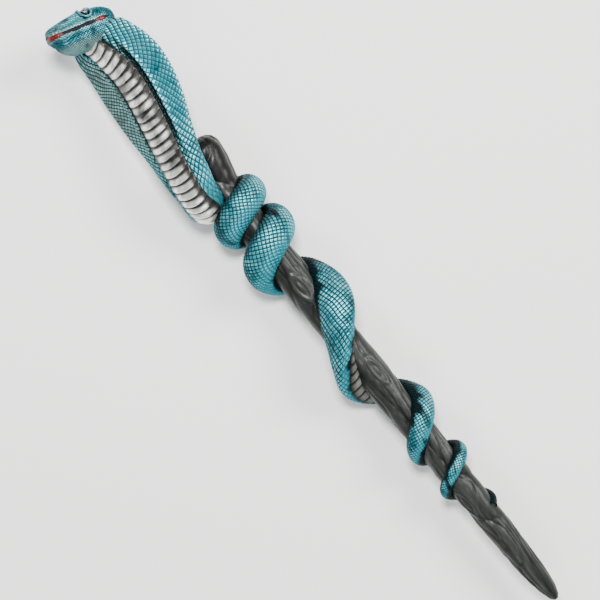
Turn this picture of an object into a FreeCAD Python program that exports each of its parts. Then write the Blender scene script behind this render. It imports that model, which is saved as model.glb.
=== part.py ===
import FreeCAD, Part
import math
import os

# A cobra wand: a knotted black stick with a snake wound round it, its hood and head rising past the butt.
# The wand is drawn along its stick first (the working frame), then laid down on a table (the row frame).
# Working frame, millimetres: X runs along the stick from the butt to the tip, with the stick's axis on
# Y = Z = 0. A turn about the stick is counted from +Y towards +Z.

V = FreeCAD.Vector

# ---- driving dimensions, millimetres and degrees -------------------------------------------------

# The stick's profile: place along the axis, sideways offset of its centre, radius. Its first rows bend
# the butt aside, and the rest run straight.
STICK = [
    (1.6, 5.2, 3.0),
    (2.6, 5.1, 5.6),
    (4.6, 5.0, 7.9),
    (8.0, 4.8, 9.4),
    (14.0, 3.9, 9.7),
    (21.0, 2.3, 9.2),
    (30.0, 0.7, 8.8),
    (42.0, 0.0, 8.6),
    (62.0, 0.0, 8.6),
    (85.0, 0.0, 8.7),
    (110.0, 0.0, 8.5),
    (140.0, 0.0, 8.2),
    (170.0, 0.0, 8.1),
    (200.0, 0.0, 7.7),
    (225.0, 0.0, 7.2),
    (245.0, 0.0, 6.8),
    (260.0, 0.0, 6.3),
    (270.0, 0.0, 5.5),
    (278.0, 0.0, 4.2),
    (282.4, 0.0, 2.7),
    (284.2, 0.0, 1.2),
]
STRAIGHT_FROM = 7

CORE_RADIUS = 1.5
CORE_START = 12.0
CORE_END = 262.0

# The hood and neck: centre x, y, z, half width across the wings, half depth from belly to spine.
HOOD = [
    (-74.6, -0.6, 3.8, 5.2, 3.4),
    (-73.4, -0.7, 4.0, 9.2, 5.6),
    (-70.5, -0.8, 4.6, 13.2, 7.6),
    (-64.0, -1.3, 5.4, 17.9, 8.0),
    (-55.0, 0.0, 6.4, 21.2, 7.5),
    (-45.0, 0.8, 7.5, 23.4, 7.0),
    (-35.0, 0.1, 8.6, 23.4, 7.0),
    (-25.0, -1.6, 9.6, 22.1, 7.0),
    (-15.0, -3.8, 10.5, 20.0, 7.0),
    (-5.0, -5.9, 11.3, 17.1, 7.0),
    (5.0, -8.0, 11.8, 14.5, 7.1),
    (14.0, -9.4, 11.6, 12.8, 7.4),
    (22.0, -10.6, 9.9, 11.2, 7.7),
    (28.6, -11.0, 6.0, 10.0, 7.8),
]
# The belly faces this far round from +Z towards -Y on the hood. At the last station it is turning away.
HOOD_YAW = 37.0
BEND_BELLY = (0.62, -0.42, 0.66)

# The coils, one row for each half turn from the underside of the stick (half a turn past +Y) on: place
# along the stick, reach of the outer surface, half width, half depth, roll of the belly from outwards.
COILS = [
    (30.2, 18.4, 9.2, 7.0, -82.0),
    (37.2, 17.2, 7.8, 6.5, -178.0),
    (46.6, 17.0, 7.9, 6.3, -180.0),
    (57.0, 18.2, 8.4, 6.5, -180.0),
    (72.0, 18.2, 8.6, 6.5, -180.0),
    (95.0, 17.6, 9.2, 6.4, -150.0),
    (139.0, 15.1, 8.6, 5.6, -122.0),
    (167.0, 15.4, 6.0, 5.2, -150.0),
    (188.0, 11.9, 4.6, 3.9, -180.0),
    (198.0, 12.8, 3.6, 3.3, -180.0),
    (211.0, 11.3, 2.9, 2.7, -180.0),
    (226.0, 9.0, 2.2, 1.8, -180.0),
    (238.0, 8.2, 0.7, 0.7, -180.0),
]
COIL_STEPS = 4
TAIL_END = 11.0
# Joints between the snake's castings, in half turns: each lies behind the stick.
SEAMS = [0.5, 2.5, 4.5, 6.5, 8.5, 10.5]
SECTION_POINTS = 32
# Clearance between the snake's castings and the stick they are glued round.
STICK_GAP = 0.15
# Where the section spreads into a hood: it starts at this width over depth, and is full at the second.
SPREAD_START = 1.5
SPREAD_FULL = 3.0
WING_SHARE = 0.36
SPINE_WIDTH = 9.5

BELLY_HALF = 7.4
BELLY_RECESS = 1.1
SCUTE_FIRST = 2.75
SCUTE_LAST = 14.4
SCUTE_COUNT = 25
SCUTE_GAP = 0.035

# The head: its own frame sits midway between the corners of the mouth, with F forwards along the mouth,
# L to the snake's left and U up. HEAD_DIP is how far F dips from -Y towards -X, HEAD_LIFT towards +Z.
HEAD_ORIGIN = (-71.8, 3.4, 5.4)
HEAD_DIP = 15.4
HEAD_LIFT = 27.0
# Stations along F: half width at the mouth, height of the crown, depth of the jaw.
HEAD = [
    (-10.5, 4.0, 2.6, 2.2),
    (-9.2, 7.2, 4.2, 4.8),
    (-6.0, 10.0, 5.5, 7.6),
    (-2.0, 11.4, 7.0, 9.4),
    (3.0, 11.2, 7.7, 10.4),
    (8.0, 10.1, 8.0, 10.9),
    (13.0, 8.7, 7.6, 11.1),
    (18.0, 7.3, 6.8, 10.6),
    (22.0, 6.3, 6.0, 8.6),
    (25.0, 5.3, 5.3, 4.8),
    (26.8, 4.0, 4.6, 2.2),
    (27.6, 2.4, 3.8, 1.0),
]
CROWN_POWER = 2.5
MOUTH_GAP = 0.9
MOUTH_INSET = 0.8
EYE_PLACE = (7.3, 7.9, 5.9)
EYE_RADIUS = 2.2
BROW_PLACE = (7.0, 6.3, 8.0)
BROW_SIZE = (4.4, 2.6, 1.9)
NOSTRIL_PLACE = (24.6, 4.6, 3.2)
NOSTRIL_RADIUS = 0.55

HEAD_PIN_RADIUS = 1.25
HEAD_PIN_UP = 4.0
HEAD_PIN_DOWN = 17.0

# How the wand lies on a table: rolled about X, then pitched about Y.
REST_ROLL = 3.8
REST_PITCH = 0.34


# ---- smooth interpolation ------------------------------------------------------------------------


def smooth_row(rows, place):
    """Catmull-Rom between the rows of a table, at a place counted in rows."""
    last = len(rows) - 1
    k = min(max(int(math.floor(place)), 0), last - 1)
    t = place - k
    before = rows[k - 1] if k else [2 * a - b for a, b in zip(rows[0], rows[1])]
    after = rows[k + 2] if k + 2 <= last else [2 * a - b for a, b in zip(rows[last], rows[last - 1])]
    weights = (
        (-t + 2 * t**2 - t**3) / 2,
        (2 - 5 * t**2 + 3 * t**3) / 2,
        (t + 4 * t**2 - 3 * t**3) / 2,
        (-(t**2) + t**3) / 2,
    )
    return [sum(w * v for w, v in zip(weights, column)) for column in zip(before, rows[k], rows[k + 1], after)]


def unit(vector):
    return vector * (1 / vector.Length)


# ---- the stick's surface -------------------------------------------------------------------------


def clear_of_stick(point, away):
    """Moves a point in one direction until it clears the stick."""
    for _ in range(12):
        ahead = [k for k, row in enumerate(STICK) if row[0] > point.x]
        if point.x <= STICK[0][0] or not ahead:
            return point
        k = ahead[0] - 1
        _, offset, radius = smooth_row(STICK, k + (point.x - STICK[k][0]) / (STICK[k + 1][0] - STICK[k][0]))
        radial = V(0, point.y - offset, point.z)
        short = radius + STICK_GAP - radial.Length
        if short <= 0.001:
            return point
        point = point + away * (short / max(unit(radial).dot(away), 0.3))
    return point


# ---- the snake's line ----------------------------------------------------------------------------


def coil_centre(half_turns):
    x, reach, width, depth, roll = smooth_row(COILS, half_turns)
    turn = math.radians(180 + 180 * half_turns)
    out = V(0, math.cos(turn), math.sin(turn))
    return V(x, 0, 0) + out * (reach - depth), out, width, depth, math.radians(roll)


def coil_row(half_turns):
    """One station of the snake on the coils: centre, belly direction, half width and half depth."""
    centre, out, width, depth, roll = coil_centre(half_turns)
    step = 0.01
    tangent = unit(coil_centre(half_turns + step)[0] - coil_centre(half_turns - step)[0])
    side = unit(tangent.cross(out))
    belly = out * math.cos(roll) + side * math.sin(roll)
    return [*centre, *belly, width, depth]


def snake_rows():
    """Every station of the snake from the head to the tail, evenly enough spaced to run a curve through."""
    yaw = math.radians(HOOD_YAW)
    facing = (0, -math.sin(yaw), math.cos(yaw))
    rows = [[x, y, z, *facing, width, depth] for x, y, z, width, depth in HOOD]
    rows[-1][3:6] = BEND_BELLY
    steps = int((len(COILS) - 1.5) * COIL_STEPS)
    return rows + [coil_row(k / COIL_STEPS) for k in range(steps)]


ROWS = snake_rows()


def coil_place(half_turns):
    """The place in ROWS of a point on the coils."""
    return len(HOOD) + half_turns * COIL_STEPS


def section(place):
    """The snake's section at a place: centre, tangent, belly and left directions, half width, half depth."""
    row = smooth_row(ROWS, place)
    step = 0.02
    ahead = V(*smooth_row(ROWS, place + step)[:3])
    tangent = unit(ahead - V(*smooth_row(ROWS, place - step)[:3]))
    belly = V(*row[3:6])
    belly = unit(belly - tangent * belly.dot(tangent))
    return V(*row[:3]), tangent, belly, belly.cross(tangent), row[6], row[7]


def spread_share(width, depth):
    share = (width / depth - SPREAD_START) / (SPREAD_FULL - SPREAD_START)
    share = min(max(share, 0.0), 1.0)
    return share * share * (3 - 2 * share)


def skin_point(sec, angle, lift=0.0):
    """A point of the skin, at an angle from the belly towards the left. The wings of a hood are thin."""
    centre, _, belly, left, width, depth = sec
    across = width * math.sin(angle)
    spread = spread_share(width, depth)
    body = WING_SHARE + (1 - WING_SHARE) * math.exp(-((across / SPINE_WIDTH) ** 2))
    height = depth * math.cos(angle) * (1 - spread + spread * body) + lift
    return centre + left * across + belly * height


# ---- wires and solids ----------------------------------------------------------------------------


def closed_wire(points):
    curve = Part.BSplineCurve()
    curve.interpolate(points, PeriodicFlag=True, Parameters=list(range(len(points) + 1)))
    return Part.Wire([curve.toShape()])


def curve_edge(points):
    """A smooth curve through points, with the same knots for every curve of as many points."""
    curve = Part.BSplineCurve()
    curve.interpolate(points, Parameters=list(range(len(points))))
    return curve.toShape()


def loft(wires):
    return one_solid(Part.makeLoft(wires, True))


def one_solid(shape):
    """The largest solid of a shape, turned right side out."""
    solids = sorted(shape.Solids, key=lambda s: abs(s.Volume))
    solid = solids[-1]
    if solid.Volume < 0:
        solid.reverse()
    return solid


def cylinder(start, end, radius):
    return Part.makeCylinder(radius, (end - start).Length, start, end - start)


def skinned(rings):
    """A solid through closed rings of points: one smooth skin, and a flat cap on each end."""
    skin = Part.BSplineSurface()
    skin.interpolate([[*ring, ring[0]] for ring in rings])
    faces = [skin.toShape()]
    for end in (skin.bounds()[0], skin.bounds()[1]):
        faces.append(Part.Face(Part.Wire([skin.uIso(end).toShape()])))
    shell = Part.makeShell(faces)
    shell.sewShape()
    return one_solid(Part.makeSolid(Part.Shell(shell.Faces)))


def body_tube(first, last, steps):
    """A length of the snake's body between two places, with flat ends."""
    rings = []
    for k in range(steps + 1):
        sec = section(first + (last - first) * k / steps)
        away = V(0, sec[0].y, sec[0].z)
        away = unit(away - sec[1] * away.dot(sec[1]))
        angles = [math.pi + 2 * math.pi * n / SECTION_POINTS for n in range(SECTION_POINTS)]
        rings.append([clear_of_stick(skin_point(sec, angle), away) for angle in angles])
    return skinned(rings)


# ---- the stick -----------------------------------------------------------------------------------


def make_stick():
    """The stick, cast round its core rod: a lofted butt, then a turned shaft."""
    rings = [Part.Wire([Part.Circle(V(x, y, 0), V(1, 0, 0), r).toShape()]) for x, y, r in STICK[:STRAIGHT_FROM + 1]]
    butt = Part.makeLoft(rings, True)
    profile = [V(x, r, 0) for x, _, r in STICK[STRAIGHT_FROM:]]
    outline = Part.BSplineCurve()
    outline.interpolate(profile)
    ends = [V(profile[-1].x, 0, 0), V(profile[0].x, 0, 0)]
    edges = [
        outline.toShape(),
        Part.makeLine(profile[-1], ends[0]),
        Part.makeLine(ends[0], ends[1]),
        Part.makeLine(ends[1], profile[0]),
    ]
    shaft = Part.Face(Part.Wire(edges)).revolve(V(0, 0, 0), V(1, 0, 0), 360)
    rod = cylinder(V(CORE_START, 0, 0), V(CORE_END, 0, 0), CORE_RADIUS)
    return {"stick": one_solid(butt.fuse(shaft).cut(rod)), "core_rod": rod}


# ---- the hood and its belly scutes ---------------------------------------------------------------


def belly_angle(width):
    return math.asin(min(BELLY_HALF / width, 0.8))


def scute_wire(place, lift, inset):
    """One section of the belly strip: an outer arc over a floor that lies in the hood's recess."""
    sec = section(place)
    edge = belly_angle(sec[4]) - inset
    angles = [edge * (1 - n / 4) for n in range(9)]
    outer = [skin_point(sec, a, lift * math.cos(a / edge * math.pi / 2)) for a in angles]
    floor = [skin_point(sec, a, -BELLY_RECESS) for a in reversed(angles)]
    edges = [
        curve_edge(outer),
        Part.makeLine(outer[-1], floor[0]),
        curve_edge(floor),
        Part.makeLine(floor[-1], outer[0]),
    ]
    return Part.Wire(edges)


def make_scutes():
    """The belly scutes: short plates along the recess, each thickest towards its tail edge."""
    pitch = (SCUTE_LAST - SCUTE_FIRST) / SCUTE_COUNT
    plates = []
    for k in range(SCUTE_COUNT):
        first = SCUTE_FIRST + k * pitch
        last = first + pitch - SCUTE_GAP
        lifts = [(first, 0.1), ((first + last) / 2, 0.35), (last, 0.5)]
        plates.append(loft([scute_wire(place, lift, 0.02) for place, lift in lifts]))
    return Part.makeCompound(plates)


def make_recess():
    """What is taken out of the hood for the belly strip."""
    steps = 24
    places = [SCUTE_FIRST + (SCUTE_LAST - SCUTE_FIRST) * k / steps for k in range(steps + 1)]
    return loft([scute_wire(place, 1.5, 0.0) for place in places])


# ---- the head ------------------------------------------------------------------------------------


def head_axes():
    dip = math.radians(HEAD_DIP)
    lift = math.radians(HEAD_LIFT)
    flat = V(-math.sin(dip), -math.cos(dip), 0)
    forward = flat * math.cos(lift) + V(0, 0, 1) * math.sin(lift)
    left = flat * -math.sin(lift) + V(0, 0, 1) * math.cos(lift)
    return forward, left, forward.cross(left)


FORWARD, LEFT, UP = head_axes()


def head_point(forward, left, up):
    return V(*HEAD_ORIGIN) + FORWARD * forward + LEFT * left + UP * up


def half_head(above):
    """The cranium or the lower jaw, between the plane of the mouth and its own arch."""
    side = 1 if above else -1
    rim = side * MOUTH_GAP / 2
    wires = []
    for k in range(2 * len(HEAD) - 1):
        forward, width, crown, jaw = smooth_row(HEAD, k / 2)
        height = crown if above else jaw
        arch = []
        for n in range(13):
            angle = math.pi * n / 12
            bow = abs(math.sin(angle)) ** (2 / CROWN_POWER)
            reach = math.copysign(abs(math.cos(angle)) ** (2 / CROWN_POWER), math.cos(angle))
            arch.append(head_point(forward, width * reach, rim + side * bow * (height - abs(rim))))
        wires.append(Part.Wire([curve_edge(arch), Part.makeLine(arch[-1], arch[0])]))
    return loft(wires)


def make_mouth_lining():
    outline = []
    for side in (1, -1):
        rows = HEAD if side == 1 else HEAD[::-1]
        for forward, width, _, _ in rows:
            outline.append(head_point(forward - MOUTH_INSET, side * (width - MOUTH_INSET), -MOUTH_GAP / 2))
    face = Part.Face(closed_wire(outline))
    return face.extrude(UP * MOUTH_GAP)


def make_brow(side):
    size = FreeCAD.Matrix()
    size.scale(V(*BROW_SIZE))
    ball = Part.makeSphere(1.0).transformGeometry(size)
    place = FreeCAD.Matrix(
        FORWARD.x, LEFT.x, UP.x, 0, FORWARD.y, LEFT.y, UP.y, 0, FORWARD.z, LEFT.z, UP.z, 0, 0, 0, 0, 1
    )
    ball = ball.transformed(place)
    forward, left, up = BROW_PLACE
    ball.translate(head_point(forward, side * left, up))
    return ball


def make_head():
    forward, left, up = EYE_PLACE
    eyes = {name: Part.makeSphere(EYE_RADIUS, head_point(forward, side * left, up))
            for name, side in (("eye_left", 1), ("eye_right", -1))}
    cranium = half_head(True)
    for side in (1, -1):
        cranium = cranium.fuse(make_brow(side))
    for eye in eyes.values():
        cranium = cranium.cut(eye)
    forward, left, up = NOSTRIL_PLACE
    for side in (1, -1):
        start = head_point(forward - 1.2, side * (left - 1.6), up - 0.2)
        cranium = cranium.cut(cylinder(start, head_point(forward + 2, side * (left + 2), up + 0.5), NOSTRIL_RADIUS))
    pin = cylinder(head_point(1, 0, HEAD_PIN_UP), head_point(1, 0, -HEAD_PIN_DOWN), HEAD_PIN_RADIUS)
    pieces = {
        "cranium": one_solid(cranium.cut(pin)),
        "lower_jaw": one_solid(half_head(False).cut(pin)),
        "mouth_lining": one_solid(make_mouth_lining().cut(pin)),
        "head_pin": pin,
    }
    pieces.update(eyes)
    return pieces


# ---- the snake -----------------------------------------------------------------------------------


def make_snake(head):
    """The hood, the coils and the tail: castings glued end to end behind the stick."""
    pieces = {}
    hood = body_tube(0, coil_place(SEAMS[0]), 36)
    for name in ("cranium", "lower_jaw", "mouth_lining"):
        pieces[name] = head[name].cut(hood)
    pieces["hood"] = hood.cut(make_recess()).cut(head["head_pin"])
    for k in range(len(SEAMS) - 1):
        pieces[f"coil_{k + 1}"] = body_tube(coil_place(SEAMS[k]), coil_place(SEAMS[k + 1]), 24)
    pieces["tail"] = body_tube(coil_place(SEAMS[-1]), coil_place(TAIL_END), 6)
    pieces = {name: one_solid(shape) for name, shape in pieces.items()}
    pieces["belly_scutes"] = make_scutes()
    return pieces


# ---- laying it down and writing it out -----------------------------------------------------------


def rest_placement(shapes):
    """The move from the working frame to the row frame: lie down, then stand on Z = 0 round the origin."""
    roll = FreeCAD.Rotation(V(1, 0, 0), REST_ROLL)
    pitch = FreeCAD.Rotation(V(0, 1, 0), REST_PITCH)
    turn = FreeCAD.Placement(V(0, 0, 0), pitch.multiply(roll))
    whole = Part.makeCompound([shape.transformed(turn.toMatrix()) for shape in shapes])
    box = whole.optimalBoundingBox(False)
    return FreeCAD.Placement(V(-box.Center.x, -box.Center.y, -box.ZMin), turn.Rotation)


def main():
    stick = make_stick()
    head = make_head()
    nodes = {**stick, **head}
    nodes.update(make_snake(head))
    matrix = rest_placement(list(nodes.values())).toMatrix()
    os.makedirs("parts", exist_ok=True)
    for name, shape in nodes.items():
        laid = shape.transformed(matrix)
        laid.exportStep(f"parts/{name}.step")
        print(f"{name}: {len(laid.Solids)} solid(s), {laid.Volume / 1000:.2f} cm3, valid {laid.isValid()}")


main()
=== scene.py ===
"""A cobra wand on a pale table: a knotted black stick with a teal snake wound round it, hood spread past the butt.

Shapes are worked out along the stick first, in millimetres (the working frame), and then laid down with the wand
(the row frame, in metres). In the working frame X runs along the stick to its tip, and Z stands up from the side
that the snake shows its belly on. All surfaces are (u, v) grids worked out as whole numpy arrays.
"""

import logging
import math
from dataclasses import dataclass, field
from enum import Enum

import bpy
import numpy as np
from mathutils import Matrix, Vector


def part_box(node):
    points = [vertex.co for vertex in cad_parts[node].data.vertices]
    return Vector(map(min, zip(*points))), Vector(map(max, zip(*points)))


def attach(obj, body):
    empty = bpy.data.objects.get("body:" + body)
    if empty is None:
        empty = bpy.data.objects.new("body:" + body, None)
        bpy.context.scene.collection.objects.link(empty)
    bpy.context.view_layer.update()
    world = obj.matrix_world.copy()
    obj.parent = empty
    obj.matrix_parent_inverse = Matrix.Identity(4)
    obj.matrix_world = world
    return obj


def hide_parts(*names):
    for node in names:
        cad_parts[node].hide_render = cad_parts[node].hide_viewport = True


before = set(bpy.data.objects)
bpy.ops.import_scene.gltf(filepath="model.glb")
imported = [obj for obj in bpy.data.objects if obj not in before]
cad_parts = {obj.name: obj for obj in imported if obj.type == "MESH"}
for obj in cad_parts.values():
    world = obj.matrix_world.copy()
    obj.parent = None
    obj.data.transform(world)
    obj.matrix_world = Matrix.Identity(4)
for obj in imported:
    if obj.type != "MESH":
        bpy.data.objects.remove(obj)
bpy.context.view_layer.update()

LOG = logging.getLogger("wand")
BODY = "root"
UV_SCALES = "scales"
UV_SCUTES = "scutes"


# ---- numbers shared by several pieces ----------------------------------------------------------------------


HOOD_ROWS = (
    (-74.6, -0.6, 3.8, 5.2, 3.4),
    (-73.4, -0.7, 4.0, 9.2, 5.6),
    (-70.5, -0.8, 4.6, 13.2, 7.6),
    (-64.0, -1.3, 5.4, 17.9, 8.0),
    (-55.0, 0.0, 6.4, 21.2, 7.5),
    (-45.0, 0.8, 7.5, 23.4, 7.0),
    (-35.0, 0.1, 8.6, 23.4, 7.0),
    (-25.0, -1.6, 9.6, 22.1, 7.0),
    (-15.0, -3.8, 10.5, 20.0, 7.0),
    (-5.0, -5.9, 11.3, 17.1, 7.0),
    (5.0, -8.0, 11.8, 14.5, 7.1),
    (14.0, -9.4, 11.6, 12.8, 7.4),
    (22.0, -10.6, 9.9, 11.2, 7.7),
    (28.6, -11.0, 6.0, 10.0, 7.8),
)
"""Hood and neck stations: centre x, y, z, half width, half depth, in millimetres."""

COIL_ROWS = (
    (30.2, 18.4, 9.2, 7.0, -82.0),
    (37.2, 17.2, 7.8, 6.5, -178.0),
    (46.6, 17.0, 7.9, 6.3, -180.0),
    (57.0, 18.2, 8.4, 6.5, -180.0),
    (72.0, 18.2, 8.6, 6.5, -180.0),
    (95.0, 17.6, 9.2, 6.4, -150.0),
    (139.0, 15.1, 8.6, 5.6, -122.0),
    (167.0, 15.4, 6.0, 5.2, -150.0),
    (188.0, 11.9, 4.6, 3.9, -180.0),
    (198.0, 12.8, 3.6, 3.3, -180.0),
    (211.0, 11.3, 2.9, 2.7, -180.0),
    (226.0, 9.0, 2.2, 1.8, -180.0),
    (238.0, 8.2, 0.7, 0.7, -180.0),
)
"""One row for each half turn: place along the stick, outer reach, half width, half depth, roll of the belly."""

STICK_ROWS = (
    (1.6, 5.2, 3.0),
    (2.6, 5.1, 5.6),
    (4.6, 5.0, 7.9),
    (8.0, 4.8, 9.4),
    (14.0, 3.9, 9.7),
    (21.0, 2.3, 9.2),
    (30.0, 0.7, 8.8),
    (42.0, 0.0, 8.6),
    (62.0, 0.0, 8.6),
    (85.0, 0.0, 8.7),
    (110.0, 0.0, 8.5),
    (140.0, 0.0, 8.2),
    (170.0, 0.0, 8.1),
    (200.0, 0.0, 7.7),
    (225.0, 0.0, 7.2),
    (245.0, 0.0, 6.8),
    (260.0, 0.0, 6.3),
    (270.0, 0.0, 5.5),
    (278.0, 0.0, 4.2),
    (282.4, 0.0, 2.7),
    (284.2, 0.0, 1.2),
)
"""Place along the stick, sideways offset of its centre, radius."""

HEAD_ROWS = (
    (-10.5, 4.0, 2.6, 2.2),
    (-9.2, 7.2, 4.2, 4.8),
    (-6.0, 10.0, 5.5, 7.6),
    (-2.0, 11.4, 7.0, 9.4),
    (3.0, 11.2, 7.7, 10.4),
    (8.0, 10.1, 8.0, 10.9),
    (13.0, 8.7, 7.6, 11.1),
    (18.0, 7.3, 6.8, 10.6),
    (22.0, 6.3, 6.0, 8.6),
    (25.0, 5.3, 5.3, 4.8),
    (26.8, 4.0, 4.6, 2.2),
    (27.6, 2.4, 3.8, 1.0),
)
"""Place forwards along the mouth, half width at the mouth, height of the crown, depth of the jaw."""


# ---- plain numpy tools -------------------------------------------------------------------------------------


def smooth_rows(rows: np.ndarray, place: np.ndarray) -> np.ndarray:
    """Catmull-Rom through the rows of a table: cubic between rows k and k+1, with slope half of row k+1 less row k-1.

    Args:
        rows: The table, one row for each station.
        place: Where to read it, counted in rows, of any shape.

    Returns:
        The interpolated rows, of place's shape with one more axis.
    """
    table = np.vstack([2 * rows[:1] - rows[1:2], rows, 2 * rows[-1:] - rows[-2:-1]])
    k = np.clip(np.floor(place).astype(int), 0, len(rows) - 2)
    t = (place - k)[..., None]
    a, b, c, d = (table[k + n] for n in range(4))
    return b + 0.5 * t * (c - a + t * (2 * a - 5 * b + 4 * c - d + t * (3 * (b - c) + d - a)))


def at_station(rows: np.ndarray, x: np.ndarray) -> np.ndarray:
    """Reads a table whose first column grows at given values of that column, with smooth_rows between stations."""
    place = np.interp(x, rows[:, 0], np.arange(len(rows)))
    return smooth_rows(rows, place)


def unit(vectors: np.ndarray) -> np.ndarray:
    """Vectors divided by their own lengths."""
    return vectors / np.maximum(np.linalg.norm(vectors, axis=-1, keepdims=True), 1e-12)


def ease(value: np.ndarray, low: float, high: float) -> np.ndarray:
    """Smoothstep: 0 below low, 1 above high, and 3t^2 - 2t^3 between, where t is the share of the way."""
    t = np.clip((value - low) / (high - low), 0.0, 1.0)
    return t * t * (3 - 2 * t)


def hump(value: np.ndarray, centre: float, spread: float) -> np.ndarray:
    """A bell, exp of minus the square of the distance from centre over spread."""
    return np.exp(-(((value - centre) / spread) ** 2))


def run_length(points: np.ndarray, axis: int) -> np.ndarray:
    """Distance travelled along one axis of a grid of points, starting at 0."""
    steps = np.linalg.norm(np.diff(points, axis=axis), axis=-1)
    start = np.zeros_like(np.take(steps, [0], axis=axis))
    return np.concatenate([start, np.cumsum(steps, axis=axis)], axis=axis)


def ripple(x: np.ndarray, y: np.ndarray, seed: int, waves: int, low: float, high: float) -> np.ndarray:
    """Soft noise, about -1 to 1: sine waves of random heading, phase and rate, summed and divided by their root."""
    rng = np.random.default_rng(seed)
    total = np.zeros(np.broadcast(x, y).shape)
    for _ in range(waves):
        heading = rng.uniform(0, 2 * math.pi)
        rate = rng.uniform(low, high)
        total += np.sin(rate * (math.cos(heading) * x + math.sin(heading) * y) + rng.uniform(0, 2 * math.pi))
    return total / math.sqrt(waves)


def normals(points: np.ndarray) -> np.ndarray:
    """Unit normals of a grid that closes on itself across: the cross product of its u and v differences."""
    along = np.gradient(points, axis=0)
    across = np.roll(points, -1, axis=1) - np.roll(points, 1, axis=1)
    return unit(np.cross(along, across))


def diamonds(p: np.ndarray, q: np.ndarray) -> np.ndarray:
    """Height of a net of diamond scales, 0 in the grooves and 1 on top.

    A scale is a unit cell of p and q. Its height eases up from the nearest cell edge, and leans so that the edge
    towards the tail, where p and q are both largest, stands highest.
    """
    fp = p - np.floor(p)
    fq = q - np.floor(q)
    edge = np.minimum(np.minimum(fp, 1 - fp), np.minimum(fq, 1 - fq))
    return ease(edge, 0.02, 0.26) * (0.62 + 0.38 * (fp + fq) / 2)


# ---- laying the wand down ----------------------------------------------------------------------------------


@dataclass(frozen=True)
class Rest:
    """How the wand lies: rolled about X, pitched about Y, then moved to where the core rod is."""

    roll: float = math.radians(3.8)
    pitch: float = math.radians(0.34)
    rod_middle: tuple[float, float, float] = (137.0, 0.0, 0.0)

    def turn(self) -> np.ndarray:
        """The rotation from the working frame to the row frame: pitch about Y after roll about X."""
        cr, sr, cp, sp = math.cos(self.roll), math.sin(self.roll), math.cos(self.pitch), math.sin(self.pitch)
        roll = np.array([[1, 0, 0], [0, cr, -sr], [0, sr, cr]])
        pitch = np.array([[cp, 0, sp], [0, 1, 0], [-sp, 0, cp]])
        return pitch @ roll

    def lay(self, points: np.ndarray) -> np.ndarray:
        """Moves working points in millimetres to the row frame in metres."""
        low, high = (np.array(corner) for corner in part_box("core_rod"))
        shift = (low + high) / 2 - self.turn() @ np.array(self.rod_middle) / 1000
        return points @ self.turn().T / 1000 + shift


REST = Rest()


# ---- grids to meshes ---------------------------------------------------------------------------------------


@dataclass
class Skin:
    """A grid of points, with what its material reads at each of them."""

    points: np.ndarray
    uvs: dict[str, np.ndarray] = field(default_factory=dict)
    masks: dict[str, np.ndarray] = field(default_factory=dict)

    def faces(self) -> tuple[np.ndarray, np.ndarray, np.ndarray, np.ndarray]:
        """Quads between neighbouring grid points, and a fan from a pole to each end ring.

        Returns:
            Quads and triangles as vertex numbers, then the same two as uv numbers: the grid closes on itself
            across, so it has one more uv column than it has columns of points.
        """
        n, m = self.points.shape[:2]
        wide = m + 1
        i, j = np.meshgrid(np.arange(n - 1), np.arange(m), indexing="ij")
        ahead = (j + 1) % m
        quads = np.stack([i * m + j, i * m + ahead, (i + 1) * m + ahead, (i + 1) * m + j], -1).reshape(-1, 4)
        quad_uvs = np.stack(
            [i * wide + j, i * wide + j + 1, (i + 1) * wide + j + 1, (i + 1) * wide + j], -1
        ).reshape(-1, 4)
        j = np.arange(m)
        ahead = (j + 1) % m
        first = np.stack([ahead, j, np.full(m, n * m)], -1)
        last = np.stack([(n - 1) * m + j, (n - 1) * m + ahead, np.full(m, n * m + 1)], -1)
        first_uvs = np.stack([j + 1, j, np.full(m, n * wide)], -1)
        last_uvs = np.stack([(n - 1) * wide + j, (n - 1) * wide + j + 1, np.full(m, n * wide + 1)], -1)
        return quads, np.vstack([first, last]), quad_uvs, np.vstack([first_uvs, last_uvs])

    def with_poles(self, grid: np.ndarray) -> np.ndarray:
        """A grid of values as one list, with the means of its first and last rows for the poles."""
        flat = grid.reshape(-1, *grid.shape[2:])
        return np.concatenate([flat, grid[:1].mean(axis=1), grid[-1:].mean(axis=1)])

    def build(self, name: str) -> bpy.types.Object:
        """Makes the mesh in the row frame, closed and facing outwards.

        Args:
            name: The new object's name.

        Returns:
            The object, at the origin, riding on the wand's one body.
        """
        vertices = REST.lay(self.with_poles(self.points))
        quads, triangles, quad_uvs, triangle_uvs = self.faces()
        fans = np.vstack([quads[:, [0, 1, 2]], quads[:, [0, 2, 3]], triangles])
        a, b, c = (vertices[fans[:, n]] for n in range(3))
        if np.einsum("ij,ij->i", a, np.cross(b, c)).sum() < 0:
            quads, triangles = quads[:, ::-1], triangles[:, ::-1]
            quad_uvs, triangle_uvs = quad_uvs[:, ::-1], triangle_uvs[:, ::-1]
        mesh = bpy.data.meshes.new(name)
        mesh.from_pydata(vertices.tolist(), [], quads.tolist() + triangles.tolist())
        mesh.polygons.foreach_set("use_smooth", np.ones(len(mesh.polygons), bool))
        corners = np.concatenate([quad_uvs.ravel(), triangle_uvs.ravel()])
        for layer, grid in self.uvs.items():
            values = self.with_poles(grid)[corners].astype(np.float32)
            mesh.uv_layers.new(name=layer).data.foreach_set("uv", values.ravel())
        for layer, grid in self.masks.items():
            values = self.with_poles(grid).astype(np.float32)
            mesh.attributes.new(layer, "FLOAT", "POINT").data.foreach_set("value", values)
        mesh.validate()
        piece = bpy.data.objects.new(name, mesh)
        bpy.context.scene.collection.objects.link(piece)
        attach(piece, BODY)
        LOG.info("%s: %d faces", name, len(mesh.polygons))
        return piece


# ---- finishes ----------------------------------------------------------------------------------------------


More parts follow.
